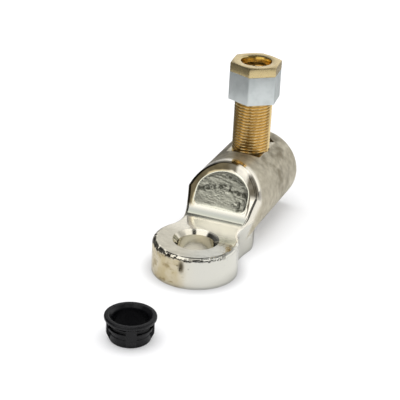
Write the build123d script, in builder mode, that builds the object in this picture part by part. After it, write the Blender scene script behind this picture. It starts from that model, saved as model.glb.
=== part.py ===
from build123d import *
from math import acos, asin, atan2, cos, degrees, radians, sin, sqrt, tan
import os

# Cable lug for one cable: a flat palm with a stud hole at one end, a round barrel at the
# other, and a hollow brass bolt that clamps the cable and breaks at its set torque.
# Millimetres. The origin is on the stud hole's axis at the palm's underside, +X runs
# from the palm to the barrel's mouth and +Z along the clamping bolt.

# Palm and waist
palm_diameter = 39.0
palm_thickness = 15.0
stud_hole_diameter = 17.0
stud_chamfer = 2.0
waist_step = 3.7
waist_radius = 13.6
flank_radius = 44.0
toe_length = 37.0
toe_overhang = 2.7
toe_corner_radius = 12.0
edge_rounding = 1.8

# Barrel
barrel_diameter = 37.0
barrel_length = 47.6
cable_bore_diameter = 20.0
bore_end_wall = 5.6
drill_point_angle = 118.0
mouth_chamfer = 1.0
mouth_rounding = 2.2

# Sloping end face between palm and barrel
slope_run = 14.7
foot_radius = 7.5
foot_gap = 2.69
dish_arch_land = 1.8
dish_side_land = 0.2
dish_foot_land = 0.6
dish_corner_radius = 3.0
dish_depth = 1.0
dish_draft = 30.0

# Clamping bolt, its seat and its drive nut
bolt_mouth_distance = 20.0
thread_diameter = 18.0
thread_pitch = 1.5
thread_clearance = 0.05
seat_diameter = 27.0
seat_depth = 2.0
nut_wall = 2.0
head_height = 4.5
head_top_height = 78.7
head_corner_angle = 30.0
head_top_inset = 0.3
nut_height = 13.8
nut_mouth_chamfer = 0.6
socket_diameter = 14.5
socket_depth = 5.0
core_bore_diameter = 10.0
solid_end_length = 12.0
first_corner_angle = 6.7

# Pressure plate under the bolt's tip
plate_inset = 1.2
plate_thickness = 2.0
plate_edge = 0.4
plate_clearance = 0.3
plate_play = 0.05
spigot_diameter = 6.0
spigot_length = 4.0
spigot_clearance = 0.05

# Centring ring for the mouth, which stands beside the lug
ring_distance = -66.8
ring_offset = 0.7
ring_wall = 2.3
ring_bore_chamfer = 0.6
ring_fit_clearance = 0.05
core_wall = 0.75
lip_wall = 1.0
lip_height = 3.6
lip_chamfer = 0.4
groove_height = 1.6
middle_rib_step = 0.95
middle_rib_height = 1.2
neck_height = 1.4
flange_taper_height = 1.6
flange_thickness = 1.6
flange_overhang = 0.9
flange_chamfer = 0.5
rib_root = 0.3
rib_width = 4.4
rib_count = 4
rib_taper_height = 3.4
rib_turn = 27.0

# Values worked out from the sizes
palm_radius = palm_diameter / 2
barrel_radius = barrel_diameter / 2
bore_radius = cable_bore_diameter / 2
# The palm's circle and the waist's arc touch where their centres are one radius sum apart
waist_half = barrel_radius - waist_step
waist_centre_y = waist_half + waist_radius
touch_angle = degrees(asin(waist_centre_y / (palm_radius + waist_radius)))
waist_distance = sqrt((palm_radius + waist_radius) ** 2 - waist_centre_y**2)
# The flank's arc starts along X at the waist and ends where it meets the barrel's side
flank_turn = degrees(acos(1 - waist_step / flank_radius))
toe_half = waist_half + toe_overhang
toe_end_distance = waist_distance + toe_length
# The sloping face stands clear of the waist, and the barrel and its bolt follow it
slope_rise = barrel_diameter - palm_thickness
slope_angle = atan2(slope_rise, slope_run)
foot_reach = foot_radius * tan(slope_angle / 2)
slope_foot_distance = waist_distance + foot_gap + foot_reach
slope_top_distance = slope_foot_distance + slope_run
barrel_end_distance = slope_top_distance + barrel_length
bolt_distance = barrel_end_distance - bolt_mouth_distance
# The end face's plane, with its own origin where the barrel's axis meets the slope
face_centre = slope_foot_distance + (barrel_radius - palm_thickness) * slope_run / slope_rise
face_plane = Plane(origin=(face_centre, 0, barrel_radius), x_dir=(0, -1, 0),
                   z_dir=(-sin(slope_angle), 0, cos(slope_angle)))
dish_half = waist_half - edge_rounding - dish_side_land
dish_radius = barrel_radius - edge_rounding - dish_arch_land
dish_top = dish_radius / sin(slope_angle)
dish_shoulder = sqrt(dish_radius**2 - dish_half**2) / sin(slope_angle)
dish_low = foot_reach + dish_foot_land - (barrel_radius - palm_thickness) / sin(slope_angle)
stud_radius = stud_hole_diameter / 2
# Heights along the bolt, from the plate at the bore's top up to the head
bore_top = barrel_radius + bore_radius
plate_bottom = bore_top + plate_clearance
bolt_tip = plate_bottom + plate_thickness + plate_play
head_underside = head_top_height - head_height
nut_underside = head_underside - nut_height
thread_depth = 1.2269 * thread_pitch / 2
thread_radius = thread_diameter / 2
bolt_hole_radius = thread_radius + thread_clearance
plate_radius = thread_radius - plate_inset
flat_distance = thread_radius + nut_wall
bolt_axis = Axis((bolt_distance, 0, 0), (0, 0, 1))
corner_radius = flat_distance * 2 / sqrt(3)
corner_fall = (corner_radius - flat_distance + head_top_inset) * tan(radians(head_corner_angle))
bore_floor_distance = slope_top_distance + bore_end_wall
drill_point_length = bore_radius / tan(radians(drill_point_angle / 2))
ring_bore_radius = bore_radius - ring_wall
core_radius = ring_bore_radius + core_wall
lip_radius = ring_bore_radius + lip_wall
middle_rib_radius = core_radius + middle_rib_step
flange_radius = bore_radius + flange_overhang
rib_radius = bore_radius - ring_fit_clearance
middle_rib_low = lip_height + groove_height
neck_low = middle_rib_low + middle_rib_height
flange_low = neck_low + neck_height + flange_taper_height
ring_height = flange_low + flange_thickness
ring_plane = Plane(origin=(ring_distance, ring_offset, 0), x_dir=(1, 0, 0), z_dir=(0, -1, 0))


def is_cross_line(edge):
    """Tell a straight edge that runs across the lug, along Y."""
    return edge.geom_type == GeomType.LINE and abs(edge.tangent_at(0).Y) > 0.999


def is_on_slope(face):
    """Tell the palm's top, the hollow foot and the sloping face, which all look upwards."""
    normal = face.normal_at()
    looks_up = abs(normal.Y) < 1e-6 and normal.Z > 0.1
    return looks_up and face.center().X < slope_top_distance and face.center().Z > palm_thickness - 0.1


with BuildPart() as lug_body:
    # Barrel, drawn as a bar from the stud hole's axis to the mouth, with its mouth edge rounded
    with BuildSketch(Plane.YZ):
        with Locations((0, barrel_radius)):
            Circle(barrel_radius)
    extrude(amount=barrel_end_distance)
    fillet(lug_body.edges().group_by(Axis.X)[-1], radius=mouth_rounding)
    # Flanks: in plan the barrel's root narrows to the waist
    with BuildSketch():
        with BuildLine():
            flank = CenterArc((waist_distance, waist_half + flank_radius), flank_radius,
                              -90, flank_turn)
            Polyline(flank @ 1, (barrel_end_distance, barrel_radius), (barrel_end_distance, 0), (0, 0),
                     (0, waist_half), flank @ 0)
        make_face()
        mirror(about=Plane.XZ)
    extrude(amount=barrel_diameter, mode=Mode.INTERSECT)
    # Palm block behind the waist, which runs out in a half ellipse under the barrel
    with BuildSketch() as toe_plan:
        with BuildLine():
            root_flank = CenterArc((waist_distance, waist_half + flank_radius), flank_radius,
                                   -90, flank_turn)
            Polyline(root_flank @ 1, (toe_end_distance, barrel_radius), (toe_end_distance, 0),
                     (waist_distance, 0), root_flank @ 0)
        make_face()
        mirror(about=Plane.XZ)
        with Locations((waist_distance, 0)):
            Ellipse(toe_length, toe_half, mode=Mode.INTERSECT)
        toe_corners = toe_plan.vertices().filter_by(lambda v: v.X > waist_distance + 1)
        fillet(toe_corners, radius=toe_corner_radius)
    extrude(amount=palm_thickness)
    # Palm block in front of the waist
    with BuildSketch():
        with BuildLine():
            palm_arc = CenterArc((0, 0), palm_radius, touch_angle, 180 - touch_angle)
            waist_arc = CenterArc((waist_distance, waist_centre_y), waist_radius,
                                  180 + touch_angle, 90 - touch_angle)
            Polyline(waist_arc @ 1, (waist_distance, 0), palm_arc @ 1)
        make_face()
        mirror(about=Plane.XZ)
    extrude(amount=palm_thickness)
    # Sloping end face, with a hollow foot where it meets the palm's top
    with BuildSketch(Plane.XZ):
        with BuildLine():
            slope = FilletPolyline((-palm_diameter, palm_thickness), (slope_foot_distance, palm_thickness),
                                   (slope_top_distance, barrel_diameter), radius=foot_radius)
            Polyline(slope @ 1, (-palm_diameter, barrel_diameter), slope @ 0)
        make_face()
    extrude(amount=palm_diameter, both=True, mode=Mode.SUBTRACT)
    # One soft edge runs round the palm's top, up the slope and over the arch
    top_faces = lug_body.faces().filter_by(is_on_slope)
    fillet(top_faces.edges().filter_by(lambda e: not is_cross_line(e)), radius=edge_rounding)
    # Shallow dish in the end face, inside its polished rim
    with BuildSketch(face_plane) as dish:
        with BuildLine():
            crown = ThreePointArc((dish_half, dish_shoulder), (0, dish_top), (-dish_half, dish_shoulder))
            Polyline(crown @ 1, (-dish_half, dish_low), (dish_half, dish_low), crown @ 0)
        make_face()
        fillet(dish.vertices(), radius=dish_corner_radius)
    extrude(amount=-dish_depth, taper=dish_draft, mode=Mode.SUBTRACT)
    # Flat seat round the bolt hole, and the threaded hole through the barrel's upper wall
    with Locations((bolt_distance, 0, barrel_diameter)):
        CounterBoreHole(radius=bolt_hole_radius, counter_bore_radius=seat_diameter / 2,
                        counter_bore_depth=seat_depth, depth=barrel_radius)
    # Blind cable bore with its chamfered mouth and drilled end
    with BuildSketch(Plane.XZ):
        with BuildLine():
            Polyline((barrel_end_distance, barrel_radius),
                     (barrel_end_distance, bore_top + mouth_chamfer),
                     (barrel_end_distance - mouth_chamfer, bore_top),
                     (bore_floor_distance, bore_top),
                     (bore_floor_distance - drill_point_length, barrel_radius),
                     close=True)
        make_face()
    revolve(axis=Axis((0, 0, barrel_radius), (1, 0, 0)), mode=Mode.SUBTRACT)
    # Stud hole, square at the contact face and with a wide chamfer on top
    with BuildSketch(Plane.XZ):
        with BuildLine():
            Polyline((0, 0),
                     (stud_radius, 0),
                     (stud_radius, palm_thickness - stud_chamfer),
                     (stud_radius + stud_chamfer, palm_thickness),
                     (0, palm_thickness),
                     close=True)
        make_face()
    revolve(axis=Axis.Z, mode=Mode.SUBTRACT)
    lug_body.part.label = "lug_body"

with BuildPart() as shear_bolt:
    # Hexagon head with its upper corners turned off to a circle
    with BuildSketch(Plane.XY.offset(head_underside)):
        with Locations((bolt_distance, 0)):
            RegularPolygon(flat_distance, 6, major_radius=False, rotation=first_corner_angle)
    extrude(amount=head_height)
    with BuildSketch(Plane.XZ):
        with BuildLine():
            Polyline((bolt_distance, head_underside),
                     (bolt_distance + corner_radius, head_underside),
                     (bolt_distance + corner_radius, head_top_height - corner_fall),
                     (bolt_distance + flat_distance - head_top_inset, head_top_height),
                     (bolt_distance, head_top_height),
                     close=True)
        make_face()
    revolve(axis=bolt_axis, mode=Mode.INTERSECT)
    # Threaded shank down to its tip, whose end is broken by a thread's depth
    with Locations((bolt_distance, 0, bolt_tip)):
        Cylinder(thread_radius, head_underside - bolt_tip,
                 align=(Align.CENTER, Align.CENTER, Align.MIN))
    chamfer(shear_bolt.faces().sort_by(Axis.Z)[0].edges(), length=thread_depth)
    # Hollow core: a wide socket in the head, then the bore that sets where the bolt breaks
    with Locations((bolt_distance, 0, head_top_height)):
        CounterBoreHole(radius=core_bore_diameter / 2, counter_bore_radius=socket_diameter / 2,
                        counter_bore_depth=socket_depth,
                        depth=head_top_height - bolt_tip - solid_end_length)
    # Blind bore in the tip, in which the pressure plate's spigot turns
    with Locations((bolt_distance, 0, bolt_tip)):
        Cylinder(spigot_diameter / 2 + spigot_clearance, spigot_length + plate_clearance,
                 align=(Align.CENTER, Align.CENTER, Align.MIN), mode=Mode.SUBTRACT)
    shear_bolt.part.label = "shear_bolt"

with BuildPart() as drive_nut:
    # Hexagon nut of the head's own width, turned up tight under it
    with BuildSketch(Plane.XY.offset(nut_underside)):
        with Locations((bolt_distance, 0)):
            RegularPolygon(flat_distance, 6, major_radius=False, rotation=first_corner_angle)
            Circle(bolt_hole_radius, mode=Mode.SUBTRACT)
    extrude(amount=nut_height)
    nut_mouths = drive_nut.edges().filter_by(GeomType.CIRCLE)
    chamfer(nut_mouths, length=nut_mouth_chamfer)
    drive_nut.part.label = "drive_nut"

with BuildPart() as pressure_plate:
    # Disc that presses on the cable, and the spigot that holds it to the bolt
    with Locations((bolt_distance, 0, plate_bottom)):
        Cylinder(plate_radius, plate_thickness, align=(Align.CENTER, Align.CENTER, Align.MIN))
    chamfer(pressure_plate.faces().sort_by(Axis.Z)[0].edges(), length=plate_edge)
    with Locations((bolt_distance, 0, plate_bottom + plate_thickness)):
        Cylinder(spigot_diameter / 2, spigot_length, align=(Align.CENTER, Align.CENTER, Align.MIN))
    pressure_plate.part.label = "pressure_plate"

with BuildPart() as ring_rib:
    # Upright rib that centres the ring in the bore and tapers towards the small end
    with BuildSketch(Plane.XZ):
        with BuildLine():
            Polyline((ring_bore_radius + rib_root, 0),
                     (lip_radius, 0),
                     (rib_radius, rib_taper_height),
                     (rib_radius, flange_low),
                     (ring_bore_radius + rib_root, flange_low),
                     close=True)
        make_face()
    extrude(amount=rib_width / 2, both=True)

with BuildPart() as centring_ring:
    # Turned form: a flange with a tapered underside, a neck, a middle rib and a lip at the small end
    with BuildSketch(ring_plane):
        with BuildLine():
            Polyline((ring_bore_radius, 0),
                     (lip_radius - lip_chamfer, 0),
                     (lip_radius, lip_chamfer),
                     (lip_radius, lip_height),
                     (core_radius, lip_height),
                     (core_radius, middle_rib_low),
                     (middle_rib_radius, middle_rib_low),
                     (middle_rib_radius, neck_low),
                     (core_radius, neck_low),
                     (core_radius, neck_low + neck_height),
                     (flange_radius - flange_chamfer, flange_low),
                     (flange_radius, flange_low + flange_chamfer),
                     (flange_radius, ring_height - flange_chamfer),
                     (flange_radius - flange_chamfer, ring_height),
                     (ring_bore_radius + ring_bore_chamfer, ring_height),
                     (ring_bore_radius, ring_height - ring_bore_chamfer),
                     close=True)
        make_face()
    revolve(axis=Axis((ring_distance, ring_offset, 0), (0, 0, 1)))
    # Four ribs stand upright round the ring
    with Locations((ring_distance, ring_offset)):
        with PolarLocations(0, rib_count, start_angle=rib_turn):
            add(ring_rib.part)
    centring_ring.part.label = "centring_ring"

os.makedirs("parts", exist_ok=True)
export_step(lug_body.part, "parts/lug_body.step")
export_step(shear_bolt.part, "parts/shear_bolt.step")
export_step(drive_nut.part, "parts/drive_nut.step")
export_step(pressure_plate.part, "parts/pressure_plate.step")
export_step(centring_ring.part, "parts/centring_ring.step")
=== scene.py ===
import math
import bpy
import numpy as np
from mathutils import Matrix, Vector


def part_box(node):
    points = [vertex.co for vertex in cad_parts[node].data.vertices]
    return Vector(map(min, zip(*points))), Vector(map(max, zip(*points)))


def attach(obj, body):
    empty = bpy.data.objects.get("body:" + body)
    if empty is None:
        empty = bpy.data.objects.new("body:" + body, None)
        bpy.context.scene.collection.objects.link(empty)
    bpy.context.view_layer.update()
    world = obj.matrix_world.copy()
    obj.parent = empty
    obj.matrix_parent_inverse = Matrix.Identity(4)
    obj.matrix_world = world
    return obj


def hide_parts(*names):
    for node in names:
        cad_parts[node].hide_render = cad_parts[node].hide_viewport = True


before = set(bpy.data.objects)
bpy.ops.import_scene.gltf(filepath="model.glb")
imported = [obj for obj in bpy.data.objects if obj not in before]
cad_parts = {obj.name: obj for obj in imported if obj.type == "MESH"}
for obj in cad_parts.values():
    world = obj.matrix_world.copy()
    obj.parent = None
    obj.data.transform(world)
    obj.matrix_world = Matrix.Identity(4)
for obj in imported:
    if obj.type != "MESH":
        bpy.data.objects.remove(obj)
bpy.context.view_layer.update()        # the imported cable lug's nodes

mm = 0.001
print("frame loaded with", len(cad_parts), "nodes")


def roundedProfile(corners, cut, steps=4, mostOfSide=0.45):
    # Each corner of an open profile becomes a parabola that starts and ends `cut` away from it
    points = np.array(corners, float)
    before, at, after = points[:-2], points[1:-1], points[2:]
    back, ahead = before - at, after - at
    backLength = np.linalg.norm(back, axis=1, keepdims=True)
    aheadLength = np.linalg.norm(ahead, axis=1, keepdims=True)
    start = at + back * np.minimum(cut / backLength, mostOfSide)
    end = at + ahead * np.minimum(cut / aheadLength, mostOfSide)
    t = np.linspace(0, 1, steps + 1)[None, :, None]
    bends = (1 - t) ** 2 * start[:, None] + 2 * t * (1 - t) * at[:, None] + t ** 2 * end[:, None]
    return np.vstack([points[:1], bends.reshape(-1, 2), points[-1:]])


def gridMesh(name, grid, closeRows=False, capFirst=False, capLast=False, sharpAngle=40.0):
    # A grid of points, closed along each row, becomes quads that join each point to its next row and column
    rows, columns = grid.shape[:2]
    index = np.arange(rows * columns).reshape(rows, columns)
    upper = np.roll(index, -1, 0) if closeRows else index[1:]
    lower = index if closeRows else index[:-1]
    quads = np.stack([lower, np.roll(lower, -1, 1), np.roll(upper, -1, 1), upper], -1)
    faces = quads.reshape(-1, 4).tolist()
    if capFirst:
        faces.append(index[0, ::-1].tolist())
    if capLast:
        faces.append(index[-1].tolist())
    mesh = bpy.data.meshes.new(name)
    mesh.from_pydata(grid.reshape(-1, 3).tolist(), [], faces)
    mesh.update()
    mesh.polygons.foreach_set("use_smooth", np.ones(len(faces), bool))
    mesh.set_sharp_from_angle(angle=math.radians(sharpAngle))
    piece = bpy.data.objects.new(name, mesh)
    bpy.context.scene.collection.objects.link(piece)
    return piece


def turned(radius, height, angles, centre):
    # Radius and height, one of each for every row and column, are carried round an upright axis
    x = centre[0] + radius * np.cos(angles)
    y = centre[1] + radius * np.sin(angles)
    return np.stack([x, y, height], -1) * mm


def latticeNoise(x, y, seed, cells=64):
    # Random heights on a square lattice, joined by a smooth step in each direction
    table = np.random.default_rng(seed).random((cells, cells))
    left, low = np.floor(x).astype(int), np.floor(y).astype(int)
    u, v = x - left, y - low
    u, v = u * u * (3 - 2 * u), v * v * (3 - 2 * v)
    a, b = table[left % cells, low % cells], table[(left + 1) % cells, low % cells]
    c, d = table[left % cells, (low + 1) % cells], table[(left + 1) % cells, (low + 1) % cells]
    return (a * (1 - u) + b * u) * (1 - v) + (c * (1 - u) + d * u) * v


def layeredNoise(x, y, seed, layers=4):
    # Each layer of lattice noise is twice as fine as the last and half as high
    parts = [latticeNoise(x * 2 ** k, y * 2 ** k, seed + k) / 2 ** k for k in range(layers)]
    return sum(parts) / (2 - 2 ** (1 - layers))


def addNode(tree, kind, inputs=None, **settings):
    # A shader node; each input is given a plain value or another node's output
    node = tree.nodes.new("ShaderNode" + kind)
    for name, value in settings.items():
        setattr(node, name, value)
    for name, value in (inputs or {}).items():
        if isinstance(value, bpy.types.NodeSocket):
            tree.links.new(value, node.inputs[name])
        else:
            node.inputs[name].default_value = value
    return node


def newMaterial(name):
    # An empty material with its shader, and the place of each point on the piece
    material = bpy.data.materials.new(name)
    material.use_nodes = True
    tree = material.node_tree
    tree.nodes.clear()
    shader = addNode(tree, "BsdfPrincipled")
    addNode(tree, "OutputMaterial", {"Surface": shader.outputs["BSDF"]})
    place = addNode(tree, "TexCoord").outputs["Object"]
    return material, tree, shader, place


def calc(tree, operation, *values):
    return addNode(tree, "Math", dict(enumerate(values)), operation=operation).outputs[0]


def product(tree, first, *others):
    # Masks multiplied together, one after another
    for other in others:
        first = calc(tree, "MULTIPLY", first, other)
    return first


def step(tree, value, low, high, toLow=0.0, toHigh=1.0):
    # A smooth change from toLow to toHigh as value goes from low to high
    names = {"Value": value, "From Min": low, "From Max": high, "To Min": toLow, "To Max": toHigh}
    return addNode(tree, "MapRange", names, interpolation_type="SMOOTHSTEP").outputs["Result"]


def fade(tree, distance, limits, toLow=0.0, toHigh=1.0):
    # The same smooth change over a distance, with its two limits in millimetres
    return step(tree, distance, limits[0] * mm, limits[1] * mm, toLow, toHigh)


def noise(tree, place, size, detail=3.0, stretch=(1.0, 1.0, 1.0)):
    # Noise whose features are `size` millimetres across, drawn out by stretch along each axis
    scale = [1.0 / (size * mm * s) for s in stretch]
    sized = addNode(tree, "Mapping", {"Vector": place, "Scale": scale})
    node = addNode(tree, "TexNoise", {"Vector": sized.outputs["Vector"], "Scale": 1.0, "Detail": detail})
    return node.outputs["Fac"]


def patches(tree, place, pattern, toLow=0.0, toHigh=1.0, stretch=(1.0, 1.0, 1.0)):
    # Soft patches: noise of a size in mm and a detail, smoothed between two of its levels
    size, detail, low, high = pattern
    return step(tree, noise(tree, place, size, detail, stretch), low, high, toLow, toHigh)


def blend(tree, factor, first, second):
    # One colour turns into another
    return addNode(tree, "Mix", {0: factor, 6: first, 7: second}, data_type="RGBA").outputs[2]


def blendNumber(tree, factor, first, second):
    return addNode(tree, "Mix", {0: factor, 2: first, 3: second}, data_type="FLOAT").outputs[0]


def bump(tree, shader, *layers):
    # Layers of (height, depth in millimetres), each added to the one before
    normal = None
    for height, depth in layers:
        inputs = {"Height": height, "Distance": depth * mm, "Strength": 1.0}
        if normal is not None:
            inputs["Normal"] = normal
        normal = addNode(tree, "Bump", inputs).outputs["Normal"]
    tree.links.new(normal, shader.inputs["Normal"])


def distanceFrom(tree, place, centre, weights):
    # Distance from a point, or from an axis where that axis has no weight, in metres
    moved = addNode(tree, "VectorMath", {0: place, 1: centre}, operation="SUBTRACT").outputs[0]
    kept = addNode(tree, "VectorMath", {0: moved, 1: weights}, operation="MULTIPLY").outputs[0]
    return addNode(tree, "VectorMath", {0: kept}, operation="LENGTH").outputs["Value"]


def finishPiece(piece, material, body):
    piece.data.materials.append(material)
    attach(piece, body)
    return piece


def dressNode(name, material):
    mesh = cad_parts[name].data
    mesh.materials.clear()
    mesh.materials.append(material)


# The camera stands in front of the palm, to its left, and looks down along the barrel
cameraView = {
    "place": (-496.53, -193.48, 288.35),  # mm
    "heading": -68.807,  # degrees from +Y
    "tilt": 25.474,
    "roll": 2.979,
    "focal": 1340.96,  # in pixels of the picture
    "picture": 400,  # pixels across
    "sensor": 36,  # mm
    "clip": (0.01, 100),  # metres
}


def makeCamera(view):
    # The camera's axes are worked out from its heading and tilt, then rolled about its line of sight
    heading, tilt, roll = (math.radians(view[k]) for k in ("heading", "tilt", "roll"))
    back = Vector((math.sin(heading) * math.cos(tilt), -math.cos(heading) * math.cos(tilt), math.sin(tilt)))
    right = Vector((math.cos(heading), math.sin(heading), 0))
    up = back.cross(right)
    rolledRight = right * math.cos(roll) + up * math.sin(roll)
    rolledUp = up * math.cos(roll) - right * math.sin(roll)
    data = bpy.data.cameras.new("photoCamera")
    data.lens, data.sensor_width = view["focal"] / view["picture"] * view["sensor"], view["sensor"]
    data.clip_start, data.clip_end = view["clip"]
    camera = bpy.data.objects.new("photoCamera", data)
    turn = Matrix((rolledRight, rolledUp, back)).transposed().to_4x4()
    camera.matrix_world = Matrix.Translation(Vector(view["place"]) * mm) @ turn
    bpy.context.scene.collection.objects.link(camera)
    bpy.context.scene.camera = camera


makeCamera(cameraView)
print("camera placed")

# Where the bolt, the nut and the ring stand, in millimetres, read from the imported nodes
boltBox = [np.array(corner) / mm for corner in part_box("shear_bolt")]
nutBox = [np.array(corner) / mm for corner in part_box("drive_nut")]
ringBox = [np.array(corner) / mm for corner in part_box("centring_ring")]
lugBox = [np.array(corner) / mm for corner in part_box("lug_body")]
boltCentre = (boltBox[0] + boltBox[1])[:2] / 2
ringCentre = (ringBox[0] + ringBox[1])[:2] / 2
barrelRadius = lugBox[1][2] / 2

# Hexagon shared by the bolt's head and the nut
hexagon = {
    "flat": 11.0,  # mm from the axis to a flat
    "firstCorner": 6.7,  # degrees from +X
    "cornerBreak": 0.1,  # mm taken off each upright corner
    "edge": 0.18,  # mm, softened edges
    "edgeMiddle": 0.3,  # where an edge's middle point lies, as a share of its softening
    "points": [-30, -29.15, -27, -24, -20, -16, -12, -8, -4, 0, 4, 8, 12, 16, 20, 24, 27, 29.15],  # degrees, one side
}


def hexagonRim(shape):
    # A flat's distance divided by the cosine of the angle from its middle, cut back at the corners
    side = np.array(shape["points"])
    offsets = np.tile(np.radians(side), 6)
    middles = np.repeat(np.arange(6) * 60 + 30 + shape["firstCorner"], len(side))
    corner = shape["flat"] * 2 / math.sqrt(3)
    rim = np.minimum(shape["flat"] / np.cos(offsets), corner - shape["cornerBreak"])
    return np.radians(middles) + offsets, rim


# Brass bolt with its real thread
bolt = {
    "threadRadius": 9.0,
    "pitch": 1.5,
    "threadDepth": 0.92,
    "rowsPerPitch": 16,
    "crest": 1 / 8,  # flat of a crest, in pitches
    "root": 1 / 4,
    "topInset": 0.3,
    "cornerAngle": 11.0,  # degrees, the turned corners of the head
    "browMiddle": 0.35,  # the head's upper edge and the socket's mouth, as shares of the softening
    "mouthMiddle": 0.6,
    "rowGap": 0.02,  # mm, the least step between two rows
    "socket": 7.25,
    "socketDepth": 5.0,
    "core": 5.0,
    "coreFloor": 12.0,  # mm of solid bolt over its tip
    "spigotBore": 3.05,
    "spigotDepth": 4.3,
    "headColour": (0.76, 0.61, 0.32, 1),
    "socketPaintedShine": (1.0, 0.80, 0.38, 1),
    "crestLitColour": (0.92, 0.70, 0.34, 1),
    "rootShadeColour": (0.68, 0.48, 0.20, 1),
    "crestShare": 0.25,  # share of the thread's depth that has the crest's full colour
    "headStart": 0.5,  # mm under the head over which its finish begins
    "socketReach": (0.4, 0.2),  # mm past the socket's wall
    "stains": (7.0, 3.0, 0.25, 0.6),  # size in mm, detail, and the two levels of the noise
    "stainLevel": 0.75,
    "clouds": (2.0, 3.0, 0.3, 0.7),
    "roughness": (0.13, 0.22),
    "headRoughness": 0.08,  # added on the head
    "grainSize": 0.25,
    "grainDepth": 0.004,
}


def threadHeight(phase, part):
    # Height of the thread over its root, 0 to 1: a flat crest, two straight flanks and a flat root
    away = np.abs((phase + 0.5) % 1 - 0.5)
    return np.clip((0.5 - part["root"] / 2 - away) / (0.5 - part["root"] / 2 - part["crest"] / 2), 0, 1)


def makeBolt(part, shape):
    # One closed skin: tip bore, tip, helical thread, head, socket and core, row by row round the axis
    angles, rim = hexagonRim(shape)
    tip, top, under = boltBox[0][2], boltBox[1][2], nutBox[1][2]
    edge, depth, outer = shape["edge"], part["threadDepth"], part["threadRadius"]
    ones = np.ones_like(angles)
    rows = int((under - tip) / part["pitch"] * part["rowsPerPitch"])
    heights = np.linspace(tip, under - part["rowGap"], rows)[:, None] * ones
    phase = heights / part["pitch"] - angles / (2 * math.pi)
    threadRadius = outer - depth + depth * threadHeight(phase, part)
    threadRadius = np.minimum(threadRadius, outer - depth + heights - tip)
    shoulder = shape["flat"] - part["topInset"]
    tilt = math.tan(math.radians(part["cornerAngle"]))
    fall = (rim - shoulder) * tilt
    brow = np.minimum(shoulder + edge, rim - edge - part["rowGap"])
    socketFloor = top - part["socketDepth"]
    lower = [
        (part["spigotBore"] * ones, (tip + part["spigotDepth"]) * ones),
        (part["spigotBore"] * ones, (tip + edge) * ones),
        ((part["spigotBore"] + edge) * ones, tip * ones),
    ]
    middle, mouth = edge * shape["edgeMiddle"], edge * part["mouthMiddle"]
    upper = [
        (rim - edge, under * ones),
        (rim - middle, (under + middle) * ones),
        (rim, (under + edge) * ones),
        (rim, top - fall - edge),
        (rim - edge * part["browMiddle"], top - fall),
        (rim - edge, top - fall + edge * tilt),
        (brow, top - (brow - shoulder) * tilt),
        ((shoulder - edge) * ones, top * ones),
        ((part["socket"] + edge * 2) * ones, top * ones),
        ((part["socket"] + mouth) * ones, (top - mouth) * ones),
        (part["socket"] * ones, (top - edge * 2) * ones),
        (part["socket"] * ones, (socketFloor + edge) * ones),
        ((part["socket"] - edge) * ones, socketFloor * ones),
        ((part["core"] + edge) * ones, socketFloor * ones),
        (part["core"] * ones, (socketFloor - edge) * ones),
        (part["core"] * ones, (tip + part["coreFloor"]) * ones),
    ]
    radius = np.vstack([[r for r, _ in lower], threadRadius, [r for r, _ in upper]])
    height = np.vstack([[z for _, z in lower], heights, [z for _, z in upper]])
    grid = turned(radius, height, angles, boltCentre)
    return gridMesh("threaded_bolt", grid, capFirst=True, capLast=True)


def brassMaterial(part):
    # Painted shade in the thread's roots and painted light on its crests, a golden socket painted bright as a
    # reflection, a fine grain on the head, and a few soft stains
    material, tree, shader, place = newMaterial("turnedBrass")
    axis = (boltCentre[0] * mm, boltCentre[1] * mm, 0)
    away = distanceFrom(tree, place, axis, (1, 1, 0))
    outer, depth = part["threadRadius"] * mm, part["threadDepth"] * mm
    crest = step(tree, away, outer - depth, outer - depth * part["crestShare"])
    height = addNode(tree, "SeparateXYZ", {0: place}).outputs["Z"]
    headFoot = nutBox[1][2]
    onHead = fade(tree, height, (headFoot - part["headStart"], headFoot))
    stain = patches(tree, place, part["stains"], part["stainLevel"], 1.0)
    # Painted shade in the thread's roots and painted light on its crests, broken by the stains
    thread = blend(tree, product(tree, crest, stain), part["rootShadeColour"], part["crestLitColour"])
    # The socket is painted a brighter gold: a painted reflection inside it
    onSocket = product(tree, onHead, fade(tree, away, [part["socket"] + reach for reach in part["socketReach"]]))
    thread = blend(tree, onSocket, thread, part["socketPaintedShine"])
    tone = calc(tree, "SUBTRACT", onHead, onSocket)
    tree.links.new(blend(tree, tone, thread, part["headColour"]), shader.inputs["Base Color"])
    shader.inputs["Metallic"].default_value = 1.0
    rough = patches(tree, place, part["clouds"], *part["roughness"])
    rough = calc(tree, "ADD", rough, product(tree, tone, part["headRoughness"]))
    tree.links.new(rough, shader.inputs["Roughness"])
    grain = product(tree, noise(tree, place, part["grainSize"], 2.0), tone)
    bump(tree, shader, (grain, part["grainDepth"]))
    return material


brass = brassMaterial(bolt)
boltPiece = finishPiece(makeBolt(bolt, hexagon), brass, "bolt")
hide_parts("shear_bolt")
dressNode("pressure_plate", brass)
print("bolt made")

# Grey drive nut under the head
nut = {
    "bore": 9.05,
    "mouth": 0.6,
    "colour": (0.83, 0.88, 0.87, 1),
    "shade": (0.74, 0.79, 0.78, 1),
    "shine": 0.75,  # how metallic it looks
    "clouds": (5.0, 4.0, 0.35, 0.65),  # size in mm, detail, and the two levels of the noise
    "rubs": (1.2, 3.0, 0.3, 0.7),
    "roughness": (0.36, 0.46),
    "grain": (0.35, 0.01),  # size and depth, mm
    "waves": (4.0, 0.02),
}


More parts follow.
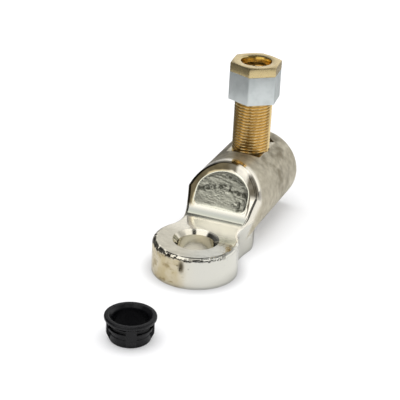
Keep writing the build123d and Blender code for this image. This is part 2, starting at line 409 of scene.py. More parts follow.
def makeNut(part, shape):
    # A closed section, carried round the axis: the bore's radius inside and the hexagon's rim outside
    angles, rim = hexagonRim(shape)
    low, high, edge = nutBox[0][2], nutBox[1][2], shape["edge"]
    middle = edge * shape["edgeMiddle"]
    ones = np.ones_like(angles)
    bore, mouth = part["bore"] * ones, (part["bore"] + part["mouth"]) * ones
    section = [
        (bore, low + part["mouth"]), (mouth, low),
        (rim - edge, low), (rim - middle, low + middle), (rim, low + edge),
        (rim, high - edge), (rim - middle, high - middle), (rim - edge, high),
        (mouth, high), (bore, high - part["mouth"]),
    ]
    radius = np.array([r for r, _ in section])
    height = np.array([z * ones for _, z in section])
    return gridMesh("drive_nut_skin", turned(radius, height, angles, boltCentre), closeRows=True)


def nutMaterial(part):
    # Matt zinc: cloudy grey with a fine grain
    material, tree, shader, place = newMaterial("mattZinc")
    cloud = patches(tree, place, part["clouds"])
    tree.links.new(blend(tree, cloud, part["shade"], part["colour"]), shader.inputs["Base Color"])
    shader.inputs["Metallic"].default_value = part["shine"]
    tree.links.new(patches(tree, place, part["rubs"], *part["roughness"]), shader.inputs["Roughness"])
    (grainSize, grainDepth), (waveSize, waveDepth) = part["grain"], part["waves"]
    bump(tree, shader, (noise(tree, place, grainSize, 2.0), grainDepth),
         (noise(tree, place, waveSize), waveDepth))
    return material


nutPiece = finishPiece(makeNut(nut, hexagon), nutMaterial(nut), "bolt")
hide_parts("drive_nut")
print("nut made")

# Black centring ring beside the lug; sizes in millimetres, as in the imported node
ring = {
    "bore": 7.7,
    "boreEdge": 1.2,
    "entryDepth": 1.7,
    "footEdge": 0.2,
    "lip": 8.7,
    "lipEdge": (0.4, 0.5),  # in and up
    "core": 8.45,
    "middleRib": 9.4,
    "lowerGroove": (3.6, 5.2),
    "upperGroove": (6.4, 7.8),
    "grooveStep": 0.05,  # height over which a groove's side rises
    "rib": 9.95,
    "ribFoot": 0.3,  # how far the ribs' foot is drawn in, and the height where they start
    "ribTaper": 3.4,
    "ribHalfAngle": 13.0,
    "ribSide": 0.8,  # degrees over which a rib's side rises
    "ribTurn": 27.0,
    "flange": 10.9,
    "flangeUnder": 9.4,
    "flangeEdge": 0.35,
    "flangeBrow": 0.4,
    "softness": 0.28,
    "rowStep": 0.35,
    "colour": (0.004, 0.004, 0.005, 1),
    "dust": (0.007, 0.007, 0.008, 1),
    "shine": 0.32,
    "boreShadeShine": 0.06,
    "boreReach": (8.2, 7.8),
    "clouds": (3.0, 4.0, 0.4, 0.7),  # size in mm, detail, and the two levels of the noise
    "rubs": (1.5, 3.0, 0.3, 0.7),
    "roughness": (0.26, 0.36),
    "grain": (0.4, 0.012),  # size and depth, mm
}


def ringProfile(part, top):
    # The turned section, from the foot of its bore up the outside and down the bore again
    bore, lip, core, flange = part["bore"], part["lip"], part["core"], part["flange"]
    under, edge, rise = part["flangeUnder"], part["flangeEdge"], part["grooveStep"]
    (lowerFoot, lowerTop), (upperFoot, upperTop) = part["lowerGroove"], part["upperGroove"]
    lipIn, lipUp = part["lipEdge"]
    corners = [
        (bore + part["footEdge"], 0), (lip - lipIn, 0), (lip, lipUp), (lip, lowerFoot),
        (core, lowerFoot + rise), (core, lowerTop), (part["middleRib"], lowerTop + rise),
        (part["middleRib"], upperFoot), (core, upperFoot + rise), (core, upperTop),
        (flange - edge, under), (flange, under + edge), (flange, top - edge),
        (flange - part["flangeBrow"], top), (bore + part["boreEdge"], top),
        (bore, top - part["entryDepth"]), (bore, part["footEdge"]),
    ]
    return roundedProfile(corners, part["softness"])


def makeRing(part):
    # The section goes round the axis; between two angles the ribs' own radius takes over from it
    under, foot = part["flangeUnder"], part["ribFoot"]
    profile = ringProfile(part, ringBox[1][2])
    steps = np.append(0, np.cumsum(np.linalg.norm(np.diff(profile, axis=0), axis=1)))
    along = np.unique(np.round(np.concatenate([steps, np.arange(0, steps[-1], part["rowStep"])]), 4))
    radius, height = (np.interp(along, steps, profile[:, k]) for k in (0, 1))
    half, side = part["ribHalfAngle"], part["ribSide"]
    quarter = np.concatenate([
        [-half - side, -half, -half + 1], np.linspace(-half + 4, half - 4, 8),
        [half - 1, half, half + side], np.linspace(half + 3, 90 - half - side - 2, 16),
    ])
    inRib = np.tile(np.abs(quarter) <= half + 1e-6, 4)
    angles = np.radians(part["ribTurn"] + np.repeat(np.arange(4) * 90, len(quarter)) + np.tile(quarter, 4))
    ribRadius = np.interp(height, [0, part["ribTaper"], under], [part["lip"] - foot, part["rib"], part["rib"]])
    onOutside = (np.arange(len(along)) < np.argmax(radius)) & (height > foot) & (height < under)
    grown = np.where(onOutside, np.maximum(radius, ribRadius), radius)
    radii = np.where(inRib[None, :], grown[:, None], radius[:, None])
    heights = np.repeat(height[:, None], len(angles), 1)
    return gridMesh("centring_ring_skin", turned(radii, heights, angles, ringCentre), closeRows=True)


def plasticMaterial(part):
    # Moulded black plastic: nearly even, duller in the bore as painted shade, with a faint orange-peel skin
    material, tree, shader, place = newMaterial("mouldedPlastic")
    cloud = patches(tree, place, part["clouds"])
    tree.links.new(blend(tree, cloud, part["colour"], part["dust"]), shader.inputs["Base Color"])
    axis = (ringCentre[0] * mm, ringCentre[1] * mm, 0)
    # Lower specular level in the bore: painted shade for its dark inside
    inBore = fade(tree, distanceFrom(tree, place, axis, (1, 1, 0)), part["boreReach"])
    shine = blendNumber(tree, inBore, part["shine"], part["boreShadeShine"])
    tree.links.new(shine, shader.inputs["Specular IOR Level"])
    tree.links.new(patches(tree, place, part["rubs"], *part["roughness"]), shader.inputs["Roughness"])
    grainSize, grainDepth = part["grain"]
    bump(tree, shader, (noise(tree, place, grainSize, 2.0), grainDepth))
    return material


ringPiece = finishPiece(makeRing(ring), plasticMaterial(ring), "lug")
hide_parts("centring_ring")
print("ring made")

# Plated body: satin barrel, polished palm, rims and foot, machined bolt seat. A pair of numbers in
# millimetres is where a zone begins and where it is full, along the axis or distance named beside it
body = {
    "slopeFoot": (23.7, 15.0),  # x and z of the sloping face's foot, mm
    "slopeTop": (38.4, 37.0),
    "waistX": 17.0,
    "waistHalf": 14.8,
    "flankRadius": 44.0,
    # Satin barrel, its stains, and a painted reflection of the brass bolt round its seat
    "satin": (0.74, 0.69, 0.56, 1),
    "dull": (0.58, 0.53, 0.41, 1),
    "stain": (0.24, 0.20, 0.13, 1),
    "polishEdge": (-6.2, -3.0),  # behind the sloping face
    "footEdge": (0.1, 0.5),  # outside the barrel
    "blotchSize": 3.5,
    "blotchDetail": 8.0,
    "blotchLevels": (0.25, 0.75),
    "stains": (5.0, 5.0, 0.36, 0.72),  # size in mm, detail, and the two levels of the noise
    "stainAndReflectionReach": (26.0, 14.0),  # from the bolt's axis
    "stainLevel": 0.75,
    # Polished palm, slope and foot
    "polished": (0.87, 0.82, 0.68, 1),
    "cool": (0.82, 0.81, 0.73, 1),
    "leftSide": (-10.0, 4.0),  # y
    "paintedTopCream": (1.0, 0.95, 0.82, 1),
    "topHeight": (14.0, 14.8),  # z
    "topStart": (2.0, 12.0),  # x
    "stripShade": (0.50, 0.51, 0.46, 1),
    "stripTop": (18.8, 16.4),  # z
    "stripFoot": (15.5, 16.0),  # z
    "slopeSides": (15.0, 13.8),  # y, to either side
    # painted shade in the fold at the sloping face's foot
    "foldShade": (0.55, 0.56, 0.46, 1),
    "foldTop": (16.9, 15.4),  # z
    "foldFoot": (15.03, 15.15),  # z
    "foldStart": (18.0, 19.0),  # x
    "foldLevel": 0.75,
    # painted contact shade on the wall's lowest part, towards the floor
    "foot": (0.40, 0.40, 0.38, 1),
    "contactShadeHeight": (1.8, 0.0),  # z
    "contactShadeLevel": 0.55,
    # Palm's wall, warmer on its left, with scuffs and painted dark reflections there
    "warm": (0.64, 0.54, 0.33, 1),
    "wallTop": (14.7, 13.0),  # z
    "wallLeft": (-4.5, 1.5),  # y
    "wallInside": (12.0, 14.0),  # from the stud's axis
    "warmClouds": (6.0, 3.0, 0.35, 0.65),
    "warmLevel": 0.6,
    "scuffAndDarkReflection": (0.36, 0.28, 0.13, 1),
    "scuffs": (2.6, 5.0, 0.52, 0.66),
    "scuffStretch": (1.6, 1.6, 0.9),
    "scuffLevel": 0.75,
    # Painted dark reflection as a line, a painted golden reflection on the rim and a painted pale glint along the
    # sloping face's edge
    "paintedDark": (0.065, 0.05, 0.025, 1),
    "paintedDarkLevel": 0.93,
    "edgeWidth": 2.6,
    "lineShares": (1.1, 0.8),  # shares of edgeWidth
    "thinShares": (0.55, 0.7),
    "rimShares": (1.7, 1.2),
    "lineLeft": (-9.0, -6.0),  # y
    "bandTop": (35.0, 32.5),  # z of the stretch on the right where the line is whole
    "bandFoot": (24.0, 27.0),
    "lineDepth": (-3.0, -1.8),  # behind the sloping face
    "lineFoot": (17.0, 19.5),  # z
    "wander": (4.0, 1.0, 0.3, 0.7),
    "wanderShare": 0.10,
    "lineBreakup": (4.0, 4.0, 0.35, 0.6),
    "lineBreakupLevel": 0.92,
    "rimBrassReflection": (0.52, 0.42, 0.22, 1),
    "goldLeft": (-6.0, 4.0),  # y
    "goldLevel": 0.85,
    # painted highlight: a pale, less metallic patch on the right of the arch's crown
    "glintStart": (-3.0, -5.0),  # y
    "glintEnd": (-11.5, -9.0),  # y
    "glintWidth": (3.0, 2.0),  # from the edge
    "glintDepth": (-2.4, -1.6),  # behind the sloping face
    "glintHeight": (29.0, 31.0),  # z
    "glintLevel": 0.8,
    # Broken patches of painted dark reflection along the palm's own edge
    "rimStart": (17.6, 18.0),  # from the stud's axis
    "rimHeight": (12.8, 13.4),  # z
    "rimEnd": (-2.0, -6.0),  # x
    "rimLeft": (-10.0, 2.0),  # y
    "rimRight": 0.45,
    "rimPatches": (3.4, 2.0, 0.46, 0.60),
    # Less metallic top for painted light, roughness and bolt seat
    "paintedTopLeft": (14.0, -2.0),  # y
    "paintedTopLevels": (0.15, 0.46),
    "paintedTopHeight": (15.7, 15.1),  # z
    "satinRoughness": (0.60, 0.50),
    "grainSize": 1.1,
    "polishedRoughness": (0.08, 0.15),
    "levels": (0.3, 0.7),  # of the noise, for both roughnesses
    "seatHeight": 35.0,
    "seatOff": (0.2, 0.1),
    "seatRadius": 13.5,
    "seatRoughness": 0.12,
    # Bumps: grain, soft waves, and dents round the palm's free end with one deep nick
    "grainDepth": 0.03,
    "waveSize": 7.0,
    "waveDepth": 0.10,
    "dentStart": (17.0, 18.5),  # from the stud's axis
    "dentEnd": (20.5, 19.8),
    "dentHeight": (4.0, 12.0),  # z
    "dentFoot": 0.25,
    "dentSide": (10.0, 2.0),  # x
    "dents": (3.2, 2.0, 0.48, 0.72),
    "dentStretch": (1.0, 1.0, 1.6),
    "dentDepth": 0.30,
    # a dent whose dark colour is also a painted reflection of the black ring
    "nick": (-19.5, -1.2, 10.6),
    "nickFlatness": 0.45,
    "nickSize": 1.7,
    "nickDepth": 0.3,
    "nickShares": (1.2, 0.2),
}
slopeFoot, slopeTop = np.array(body["slopeFoot"]), np.array(body["slopeTop"])
slopeUp = (slopeTop - slopeFoot) / np.linalg.norm(slopeTop - slopeFoot)
slopeOut = np.array([-slopeUp[1], slopeUp[0]])  # the sloping face's normal, in x and z


def edgeDistance(tree, spot, part):
    # Distance from the sloping face's edge: from the barrel's skin above its axis, from the flank's arc below
    radius = barrelRadius * mm
    aboveAxis = calc(tree, "MAXIMUM", calc(tree, "SUBTRACT", spot["Z"], radius), 0.0)
    squares = [calc(tree, "POWER", length, 2.0) for length in (spot["Y"], aboveAxis)]
    fromAxis = calc(tree, "SQRT", calc(tree, "ADD", *squares))
    fromWaist = calc(tree, "SUBTRACT", spot["X"], part["waistX"] * mm)
    bend = calc(tree, "DIVIDE", calc(tree, "POWER", fromWaist, 2.0), 2 * part["flankRadius"] * mm)
    reach = calc(tree, "MINIMUM", calc(tree, "ADD", bend, part["waistHalf"] * mm), radius)
    return calc(tree, "SUBTRACT", reach, fromAxis)


def bodyDistances(tree, place, part):
    # Where each point lies: along the axes, behind the sloping face, and from the bores, the seat and the nick
    outward = (slopeOut[0], 0, slopeOut[1])
    foot = (slopeFoot[0] * mm, 0, slopeFoot[1] * mm)
    moved = addNode(tree, "VectorMath", {0: place, 1: foot}, operation="SUBTRACT").outputs[0]
    spot = addNode(tree, "SeparateXYZ", {0: place}).outputs
    return {
        "x": spot["X"],
        "y": spot["Y"],
        "z": spot["Z"],
        "sideways": calc(tree, "ABSOLUTE", spot["Y"]),
        "slope": addNode(tree, "VectorMath", {0: moved, 1: outward}, operation="DOT_PRODUCT").outputs["Value"],
        "edge": edgeDistance(tree, spot, part),
        "stud": distanceFrom(tree, place, (0, 0, 0), (1, 1, 0)),
        "bolt": distanceFrom(tree, place, (boltCentre[0] * mm, 0, 0), (1, 1, 0)),
        "barrel": distanceFrom(tree, place, (0, 0, barrelRadius * mm), (0, 1, 1)),
        "seat": distanceFrom(tree, place, (0, 0, part["seatHeight"] * mm), (0, 0, 1)),
        "nick": distanceFrom(tree, place, [value * mm for value in part["nick"]], (1, 1, part["nickFlatness"])),
    }


def satinColour(tree, place, away, blotch, part):
    # Cloudy barrel; brown patches round the bolt's seat, partly stains and partly a painted reflection of the brass
    # bolt
    satin = blend(tree, step(tree, blotch, *part["blotchLevels"]), part["dull"], part["satin"])
    stain = product(tree, patches(tree, place, part["stains"]),
                    fade(tree, away["bolt"], part["stainAndReflectionReach"], 0.0, part["stainLevel"]))
    return blend(tree, stain, satin, part["stain"])


def polishedColour(tree, place, away, onTop, part):
    # Cooler on the right, painted light as cream on top, painted shade in the slope's foot and towards the floor,
    # warm on the wall's left, with scuffs and painted dark reflections there
    clean = blend(tree, fade(tree, away["y"], part["leftSide"]), part["cool"], part["polished"])
    clean = blend(tree, onTop, clean, part["paintedTopCream"])
    sides = fade(tree, away["sideways"], part["slopeSides"])
    # Painted shade on the strip over the slope's foot and in the fold below it
    onStrip = product(tree, fade(tree, away["z"], part["stripTop"]), fade(tree, away["z"], part["stripFoot"]), sides)
    clean = blend(tree, onStrip, clean, part["stripShade"])
    inFold = product(tree, fade(tree, away["z"], part["foldTop"]), fade(tree, away["z"], part["foldFoot"]),
                     fade(tree, away["x"], part["foldStart"], 0.0, part["foldLevel"]), sides)
    clean = blend(tree, inFold, clean, part["foldShade"])
    onWall = product(tree, fade(tree, away["z"], part["wallTop"]), fade(tree, away["y"], part["wallLeft"]),
                     fade(tree, away["stud"], part["wallInside"]))
    cloud = patches(tree, place, part["warmClouds"], part["warmLevel"], 1.0)
    bright = blend(tree, product(tree, onWall, cloud), clean, part["warm"])
    # Scuffs on the wall's left, which also stand for painted dark reflections
    scuff = patches(tree, place, part["scuffs"], 0.0, part["scuffLevel"], part["scuffStretch"])
    bright = blend(tree, product(tree, onWall, scuff), bright, part["scuffAndDarkReflection"])
    # Painted contact shade towards the floor
    return blend(tree, fade(tree, away["z"], part["contactShadeHeight"], 0.0, part["contactShadeLevel"]), bright, part["foot"])


def edgeShares(tree, distance, shares, part):
    # A smooth change over two shares of the edge's width
    low, high = (part["edgeWidth"] * mm * share for share in shares)
    return step(tree, distance, low, high)


def darkLine(tree, place, away, glint, part):
    # A painted dark reflection follows the sloping face's edge as a line; on the right it is only a thin line, apart
    # from one stretch
    thin = edgeShares(tree, away["edge"], part["thinShares"], part)
    band = product(tree, fade(tree, away["z"], part["bandTop"]), fade(tree, away["z"], part["bandFoot"]))
    whole = calc(tree, "MAXIMUM", fade(tree, away["y"], part["lineLeft"]), band)
    wander = patches(tree, place, part["wander"], -part["wanderShare"], part["wanderShare"])
    wandering = calc(tree, "ADD", away["edge"], product(tree, wander, part["edgeWidth"] * mm))
    breakup = patches(tree, place, part["lineBreakup"], 1.0, part["lineBreakupLevel"])
    return product(tree, edgeShares(tree, wandering, part["lineShares"], part),
                   blendNumber(tree, whole, thin, 1.0), fade(tree, away["slope"], part["lineDepth"]),
                   fade(tree, away["z"], part["lineFoot"]), calc(tree, "SUBTRACT", 1.0, glint), breakup)


def platedMaterial(part):
    # A satin colour and a polished one, each with its marks, joined along the sloping face's back
    material, tree, shader, place = newMaterial("platedMetal")
    away = bodyDistances(tree, place, part)
    barrelSkin = barrelRadius * mm
    footStart, footFull = (barrelSkin + reach * mm for reach in part["footEdge"])
    polish = calc(tree, "MAXIMUM", fade(tree, away["slope"], part["polishEdge"]),
                  step(tree, away["barrel"], footStart, footFull))
    satinShare = calc(tree, "SUBTRACT", 1.0, polish)
    blotch = noise(tree, place, part["blotchSize"], part["blotchDetail"])
    grain = noise(tree, place, part["grainSize"])
    onTop = product(tree, fade(tree, away["z"], part["topHeight"]), fade(tree, away["x"], part["topStart"]))
    # A painted golden reflection on the rim's left, and a painted pale glint on the right of the arch's crown
    glint = product(tree, fade(tree, away["y"], part["glintStart"]), fade(tree, away["y"], part["glintEnd"]),
                    fade(tree, away["edge"], part["glintWidth"]), fade(tree, away["slope"], part["glintDepth"]),
                    fade(tree, away["z"], part["glintHeight"], 0.0, part["glintLevel"]))
    golden = product(tree, edgeShares(tree, away["edge"], part["rimShares"], part),
                     fade(tree, away["slope"], part["lineDepth"]),
                     fade(tree, away["y"], part["goldLeft"], 0.0, part["goldLevel"]),
                     fade(tree, away["z"], part["lineFoot"]))
    bright = blend(tree, golden, polishedColour(tree, place, away, onTop, part), part["rimBrassReflection"])
    # Painted dark reflection in the edge's line, in patches along the palm's rim and in the nick
    onRim = product(tree, fade(tree, away["stud"], part["rimStart"]), fade(tree, away["z"], part["rimHeight"]),
                    fade(tree, away["x"], part["rimEnd"]), fade(tree, away["y"], part["rimLeft"], part["rimRight"]))
    patch = product(tree, patches(tree, place, part["rimPatches"]), onRim)
    # The nick's dark colour is partly a painted reflection of the black ring
    nickOuter, nickInner = (part["nickSize"] * mm * share for share in part["nickShares"])
    inNick = step(tree, away["nick"], nickOuter, nickInner)
    line = darkLine(tree, place, away, glint, part)
    dark = calc(tree, "MAXIMUM", line, calc(tree, "MAXIMUM", patch, inNick))
    bright = blend(tree, product(tree, dark, part["paintedDarkLevel"]), bright, part["paintedDark"])
    satin = satinColour(tree, place, away, blotch, part)
    tree.links.new(blend(tree, polish, satin, bright), shader.inputs["Base Color"])
    # The palm's top is less metallic towards the sloping face's foot, so it shows a painted brighter top
    paintedBrightTop = product(tree, onTop, fade(tree, away["y"], part["paintedTopLeft"], *part["paintedTopLevels"]),
                    fade(tree, away["z"], part["paintedTopHeight"]))
    tree.links.new(calc(tree, "SUBTRACT", 1.0, calc(tree, "MAXIMUM", paintedBrightTop, glint)), shader.inputs["Metallic"])
    # Roughness of the satin and of the polished parts, and of the machined bolt seat
    rough = calc(tree, "ADD", product(tree, step(tree, blotch, *part["levels"], *part["satinRoughness"]), satinShare),
                 product(tree, step(tree, grain, *part["levels"], *part["polishedRoughness"]), polish))
    seatRadius, seatStep = part["seatRadius"], part["seatOff"][0]
    onSeat = product(tree, fade(tree, away["seat"], part["seatOff"]),
                     fade(tree, away["bolt"], (seatRadius + seatStep, seatRadius)))
    tree.links.new(blendNumber(tree, onSeat, rough, part["seatRoughness"]), shader.inputs["Roughness"])
    # Small dents round the palm's free end, most of them high up on its wall, and one deep nick
    onEdge = product(tree, fade(tree, away["stud"], part["dentStart"]), fade(tree, away["stud"], part["dentEnd"]),
                     fade(tree, away["z"], part["dentHeight"], part["dentFoot"]),
                     fade(tree, away["x"], part["dentSide"]))
    dents = patches(tree, place, part["dents"], stretch=part["dentStretch"])
    nick = step(tree, away["nick"], part["nickSize"] * mm, 0.0)
    bump(tree, shader, (product(tree, grain, satinShare), part["grainDepth"]),
         (noise(tree, place, part["waveSize"], 2.0), part["waveDepth"]),
         (product(tree, dents, onEdge), part["dentDepth"]), (nick, -part["nickDepth"]))
    return material


dressNode("lug_body", platedMaterial(body))
print("body dressed")

# Rough skin inside the sloping face's shallow dish; sizes in millimetres
skin = {
    "half": 13.3,  # half width, a little past the dish
    "crownRadius": 14.24,
    "crownTop": 18.42,  # up the slope from the barrel's axis
    "low": 0.1,
    "centre": 7.5,
    "cornerPower": 22.0,
    "rings": 96,
    "spokes": 320,
    "ringSpread": 0.9,  # power that draws the rings towards the outline
    "lastRing": 0.985,
    "land": 0.55,  # width of its edge that lies on the face round the dish
    "proud": 0.012,
    "depth": 0.40,
    "border": 1.9,
    "bowlPower": 0.7,
    "shallowest": 0.03,
    "deepest": 0.96,
    "riseHeights": (1, 4),  # up the slope, and how wide the relief's rise is there
    "riseWidths": (1.1, 0.5),
    "flow": {"length": 6, "width": 0.9, "wave": 0.35, "waveLength": 4, "lean": 0.12, "depth": 0.22, "middle": 0.45},
    "pits": {"size": (1.5, 1.2), "start": 0.40, "span": 0.3, "everywhere": 0.12, "depth": 0.30},
    "grain": {"size": (0.8, 0.6), "depth": 0.14},
    "arcs": [(10.4, 0.02, 1.5, 1.0), (16.0, 0.03, 0.9, 0.8)],  # height, sag, width and weight of each row of pits
    "cornerPits": (10, 3.5, 3),  # across, up and size
    "skirt": (1.02, 1.6, 0.25),  # its growth, its depth, and the depth of the row under the outline
    "shadeSpan": 0.32,
    "shadeStart": 0.34,
    "light": (0.82, 0.81, 0.67, 1),
    "dark": (0.10, 0.10, 0.075, 1),
    "hollowShare": 0.85,
    "speckShare": 0.12,
    "specks": (0.9, 4.0, 0.45, 0.7),  # size in mm, detail, and the two levels of the noise
    "roughness": (0.14, 0.42),
    "fineSize": 0.5,
    "fineDepth": 0.05,
}


def skinOutline(part, angles, tiny=1e-6):
    # In each direction the nearest of the sides, the foot and the crown's circle, with soft corners
    across, up = np.sin(angles), np.cos(angles)
    sides = part["half"] / np.maximum(np.abs(across), tiny)
    footGap = (part["centre"] - part["low"]) / np.maximum(-up, tiny)
    toCentre = part["crownTop"] - part["crownRadius"] - part["centre"]
    crown = up * toCentre + np.sqrt(part["crownRadius"] ** 2 - (across * toCentre) ** 2)
    power = part["cornerPower"]
    near = sides ** -power + np.where(up < -tiny, footGap, 1e6) ** -power + crown ** -power
    return near ** (-1 / power)


def skinHollows(part, across, up):
    # Flow lines that wave and lean, pits along two sagging rows and in one corner, and a fine grain
    flow, pits, grain = part["flow"], part["pits"], part["grain"]
    lines = up / flow["width"] + flow["wave"] * np.sin(across / flow["waveLength"]) + flow["lean"] * across
    flowHeight = layeredNoise(across / flow["length"] + 20, lines + 7, 11)
    pitHeight = layeredNoise(across / pits["size"][0] + 40, up / pits["size"][1] + 30, 23)
    grainHeight = layeredNoise(across / grain["size"][0] + 9, up / grain["size"][1] + 3, 37, 3)
    row = sum(weight * np.exp(-((up - height + sag * across ** 2) / width) ** 2)
              for height, sag, width, weight in part["arcs"])
    cornerAcross, cornerUp, cornerSize = part["cornerPits"]
    corner = np.exp(-((across - cornerAcross) / cornerSize) ** 2 - ((up - cornerUp) / cornerSize) ** 2)
    pitShare = (np.clip((pitHeight - pits["start"]) / pits["span"], 0, 1)
                * np.clip(row + corner + pits["everywhere"], 0, 1))
    return (flow["depth"] * (flowHeight - flow["middle"]) + pits["depth"] * pitShare
            + grain["depth"] * (grainHeight - 0.5))


def makeSkin(part):
    # Rings shrink from the outline to its centre; the depth under the face is a bowl plus the hollows
    angles = np.linspace(0, 2 * math.pi, part["spokes"], endpoint=False)
    reach = skinOutline(part, angles)
    share = 1 - np.linspace(0, part["lastRing"], part["rings"])[:, None] ** part["ringSpread"]
    distance = reach * share
    across, up = distance * np.sin(angles), part["centre"] + distance * np.cos(angles)
    fromEdge = reach - distance
    inner = np.maximum(fromEdge - part["land"], 0)
    bowl = part["depth"] * np.clip(inner / part["border"], 0, 1) ** part["bowlPower"]
    rise = np.clip(inner / np.interp(up, part["riseHeights"], part["riseWidths"]), 0, 1)
    hollow = skinHollows(part, across, up)
    depth = np.clip(bowl + rise * hollow, part["shallowest"], part["deepest"])
    depth = np.where(fromEdge > part["land"], depth, -part["proud"])
    origin = slopeFoot + slopeUp * (barrelRadius - slopeFoot[1]) / slopeUp[1]
    top = origin[None, None, :] + up[..., None] * slopeUp - depth[..., None] * slopeOut
    surface = np.stack([top[..., 0], -across, top[..., 1]], -1)
    grow, skirtDepth, tuckDepth = part["skirt"]
    skirtAcross, skirtUp = across[:1] * grow, part["centre"] + (up[:1] - part["centre"]) * grow
    under = origin + skirtUp[..., None] * slopeUp - skirtDepth * slopeOut
    skirt = np.stack([under[..., 0], -skirtAcross, under[..., 1]], -1)
    edge = origin + skirtUp[..., None] * slopeUp - tuckDepth * slopeOut
    tuck = np.stack([edge[..., 0], -skirtAcross, edge[..., 1]], -1)
    grid = np.concatenate([skirt, tuck, surface]) * mm
    piece = gridMesh("rough_skin", grid[:, ::-1], capFirst=True, capLast=True)
    shade = rise * np.clip(hollow / part["shadeSpan"] + part["shadeStart"], 0, 1)
    shade = np.concatenate([np.zeros((2, part["spokes"])), shade])
    values = piece.data.attributes.new("hollow", "FLOAT", "POINT")
    values.data.foreach_set("value", shade[:, ::-1].astype(np.float32).ravel())
    return piece


def skinMaterial(part):
    # Painted shade in the hollows, light on the ridges, with a grain too fine for the mesh
    material, tree, shader, place = newMaterial("roughSkin")
    hollow = addNode(tree, "Attribute", attribute_name="hollow").outputs["Fac"]
    speck = patches(tree, place, part["specks"])
    tone = calc(tree, "ADD", product(tree, hollow, part["hollowShare"]), product(tree, speck, part["speckShare"]))
    tone = product(tree, tone, step(tree, hollow, 0.0, 0.15))
    tree.links.new(blend(tree, tone, part["light"], part["dark"]), shader.inputs["Base Color"])
    shader.inputs["Metallic"].default_value = 1.0
    tree.links.new(step(tree, hollow, 0.0, 0.3, *part["roughness"]), shader.inputs["Roughness"])
    bump(tree, shader, (noise(tree, place, part["fineSize"]), part["fineDepth"]))
    return material


finishPiece(makeSkin(skin), skinMaterial(skin), "lug")
print("rough skin made")

# White floor and soft studio light; sizes in metres
studio = {
    "floorSize": 6.0,
    "floorColour": (0.85, 0.85, 0.86, 1),
    "glowCentre": (0.03, 0, 0),
    "glowReach": (0.12, 0.6),  # from there; the glow is full beyond
    "floorGlow": 0.30,
    "contactShadowReach": (0.0185, 0.0265),
    "contactShadowGlow": 0.35,  # share of the glow that is left at the palm's foot: a painted dark line of contact shadow
    "cameraLoss": 0.24,  # the floor's own light that the camera doesn't see, made up by the glow
    "dim": (0.19, 0.82, 0.42),  # the floor's light lost in reflections: everywhere, on its left, at its back
    "leftReach": (0.04, 0.16),  # y
    "leftEnd": (0.12, 0.24),  # x
    "leftBehind": 0.1,
    "backReach": (0.10, 0.22),  # x
    "wallTowards": (0.84, -0.54, 0),
    "wallEdge": (0.28, 0.62),  # how nearly a direction points there
    "wallLevels": (0.08, 0.95),
    "wallTop": (0.42, 0.62),  # z of a direction
    "wallTopLevel": 0.42,
    "boxes": [  # level of each long light overhead, then the y where it begins and ends and its far end's x
        (1.15, -0.17, 0.56, 0.30),
        (1.05, -0.66, -0.38, 0.45),
    ],
    "boxSoft": (0.03, 0.05, 0.07, 0.05),  # softness of a box's start, end, far end and low end
    "boxLow": 0.52,  # z of the boxes' near ends
    "lampPower": 8.8,
    "lampSize": 1.0,
    "lampPlace": (0.02, 0.09, 0.95),
    "lampAim": (0.02, 0, 0.02),
}


def makeFloor(part):
    # A plain square; the camera sees it brighter than the light makes it, so that it ends up white, with a painted
    # contact shadow round the palm's foot
    half = part["floorSize"] / 2
    mesh = bpy.data.meshes.new("floor")
    corners = [(-half, -half, 0), (half, -half, 0), (half, half, 0), (-half, half, 0)]
    mesh.from_pydata(corners, [], [(0, 1, 2, 3)])
    floor = bpy.data.objects.new("floor", mesh)
    bpy.context.scene.collection.objects.link(floor)
    material = bpy.data.materials.new("paper")
    material.use_nodes = True
    tree = material.node_tree
    tree.nodes.clear()
    rays = addNode(tree, "LightPath").outputs
    place = addNode(tree, "TexCoord").outputs["Object"]
    spot = addNode(tree, "SeparateXYZ", {0: place}).outputs
    always, left, back = part["dim"]
    toLeft = step(tree, spot["X"], *part["leftEnd"], left, part["leftBehind"])
    dim = calc(tree, "ADD", step(tree, spot["Y"], *part["leftReach"], always, toLeft),
               step(tree, spot["X"], *part["backReach"], 0.0, back))
    lost = calc(tree, "ADD", product(tree, rays["Is Glossy Ray"], dim),
                product(tree, rays["Is Camera Ray"], part["cameraLoss"]))
    kept = calc(tree, "SUBTRACT", 1.0, lost)
    paper = addNode(tree, "BsdfDiffuse", {"Color": blend(tree, kept, (0, 0, 0, 1), part["floorColour"])})
    away = distanceFrom(tree, place, part["glowCentre"], (1, 1, 0))
    fromPalm = distanceFrom(tree, place, (0, 0, 0), (1, 1, 0))
    strength = product(tree, rays["Is Camera Ray"], step(tree, away, *part["glowReach"], part["floorGlow"]),
                       step(tree, fromPalm, *part["contactShadowReach"], part["contactShadowGlow"]))
    glow = addNode(tree, "Emission", {"Strength": strength})
    both = addNode(tree, "AddShader", {0: paper.outputs[0], 1: glow.outputs[0]})
    addNode(tree, "OutputMaterial", {"Surface": both.outputs[0]})
    mesh.materials.append(material)


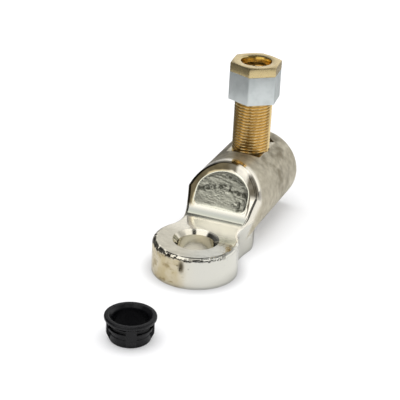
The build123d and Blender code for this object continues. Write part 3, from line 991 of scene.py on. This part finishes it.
def makeSky(part):
    # White to the camera; a bright wall low down behind, two long soft boxes above, dark elsewhere
    world = bpy.data.worlds.new("studioSky")
    bpy.context.scene.world = world
    world.use_nodes = True
    tree = world.node_tree
    tree.nodes.clear()
    direction = addNode(tree, "TexCoord").outputs["Generated"]
    split = addNode(tree, "SeparateXYZ", {0: direction}).outputs
    towards = addNode(tree, "VectorMath", {0: direction, 1: part["wallTowards"]}, operation="DOT_PRODUCT")
    wall = step(tree, towards.outputs["Value"], *part["wallEdge"], *part["wallLevels"])
    level = product(tree, wall, step(tree, split["Z"], *part["wallTop"], 1.0, part["wallTopLevel"]))
    softStart, softEnd, softFar, softLow = part["boxSoft"]
    high = step(tree, split["Z"], part["boxLow"] - softLow, part["boxLow"] + softLow)
    for strength, start, end, far in part["boxes"]:
        across = product(tree, step(tree, split["Y"], start - softStart, start + softStart),
                         step(tree, split["Y"], end + softEnd, end - softEnd))
        along = step(tree, split["X"], far + softFar, far - softFar, 0.0, strength)
        level = calc(tree, "MAXIMUM", level, product(tree, across, along, high))
    rays = addNode(tree, "LightPath").outputs
    lit = addNode(tree, "Background", {"Color": (1, 1, 1, 1), "Strength": level})
    white = addNode(tree, "Background", {"Color": (1, 1, 1, 1), "Strength": 1.0})
    seen = addNode(tree, "MixShader", {0: rays["Is Camera Ray"], 1: lit.outputs[0], 2: white.outputs[0]})
    addNode(tree, "OutputWorld", {"Surface": seen.outputs[0]})


def makeLamp(part):
    # A wide lamp overhead lights the floor for the soft shadow; reflections see the sky alone
    data = bpy.data.lights.new("softLamp", "AREA")
    data.energy, data.size = part["lampPower"], part["lampSize"]
    lamp = bpy.data.objects.new("softLamp", data)
    lamp.location = part["lampPlace"]
    aim = Vector(part["lampAim"]) - Vector(part["lampPlace"])
    lamp.rotation_euler = aim.to_track_quat("-Z", "Y").to_euler()
    lamp.visible_glossy = False
    bpy.context.scene.collection.objects.link(lamp)


makeFloor(studio)
makeSky(studio)
makeLamp(studio)
bpy.context.scene.view_settings.view_transform = "Standard"
print("studio lit")
